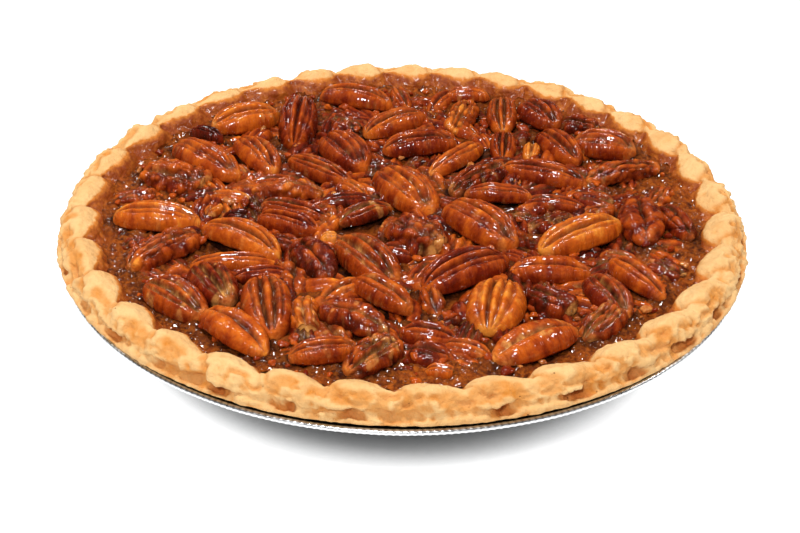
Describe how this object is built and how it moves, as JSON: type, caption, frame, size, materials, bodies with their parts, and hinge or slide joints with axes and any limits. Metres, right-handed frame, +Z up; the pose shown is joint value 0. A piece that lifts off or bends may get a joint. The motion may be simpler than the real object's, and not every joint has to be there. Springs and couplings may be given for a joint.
{
  "type": "pecan pie",
  "caption": "Round pecan pie: crimped pastry cup, set syrup filling and halved nuts lying on it, baked and standing in its own shallow foil tin.",
  "frame": {"origin": "centre of the tin's flat base, on the surface that the pie stands on", "axes": "+Z up through the middle of the pie; +X and +Y across it; -Y is the side nearest the viewer in the picture"},
  "size_m": [0.23, 0.23, 0.0459],
  "materials": {
    "tin": "thin bright foil, lightly creased",
    "crust": "baked pastry, dry and golden, browner in its hollows",
    "filling": "set syrup with fine bubbles and crumbs, glossy",
    "pecans": "syrup-glazed nuts, glossy"
  },
  "bodies": {
    "root": {"pie_tin": "tin", "crust": "crust", "filling": "filling", "pecan_01": "pecans", "pecan_02": "pecans", "pecan_03": "pecans", "pecan_04": "pecans", "pecan_05": "pecans", "pecan_06": "pecans", "pecan_07": "pecans", "pecan_08": "pecans", "pecan_09": "pecans", "pecan_10": "pecans", "pecan_11": "pecans", "pecan_12": "pecans", "pecan_13": "pecans", "pecan_14": "pecans", "pecan_15": "pecans", "pecan_16": "pecans", "pecan_17": "pecans", "pecan_18": "pecans", "pecan_19": "pecans", "pecan_20": "pecans", "pecan_21": "pecans", "pecan_22": "pecans", "pecan_23": "pecans", "pecan_24": "pecans", "pecan_25": "pecans", "pecan_26": "pecans", "pecan_27": "pecans", "pecan_28": "pecans", "pecan_29": "pecans", "pecan_30": "pecans", "pecan_31": "pecans", "pecan_32": "pecans", "pecan_33": "pecans", "pecan_34": "pecans", "pecan_35": "pecans", "pecan_36": "pecans", "pecan_37": "pecans", "pecan_38": "pecans", "pecan_39": "pecans", "pecan_40": "pecans", "pecan_41": "pecans", "pecan_42": "pecans", "pecan_43": "pecans", "pecan_44": "pecans", "pecan_45": "pecans", "pecan_46": "pecans", "pecan_47": "pecans", "pecan_48": "pecans", "pecan_49": "pecans", "pecan_50": "pecans", "pecan_51": "pecans", "pecan_52": "pecans", "pecan_53": "pecans", "pecan_54": "pecans", "pecan_55": "pecans", "pecan_56": "pecans"}
  },
  "joints": []
}
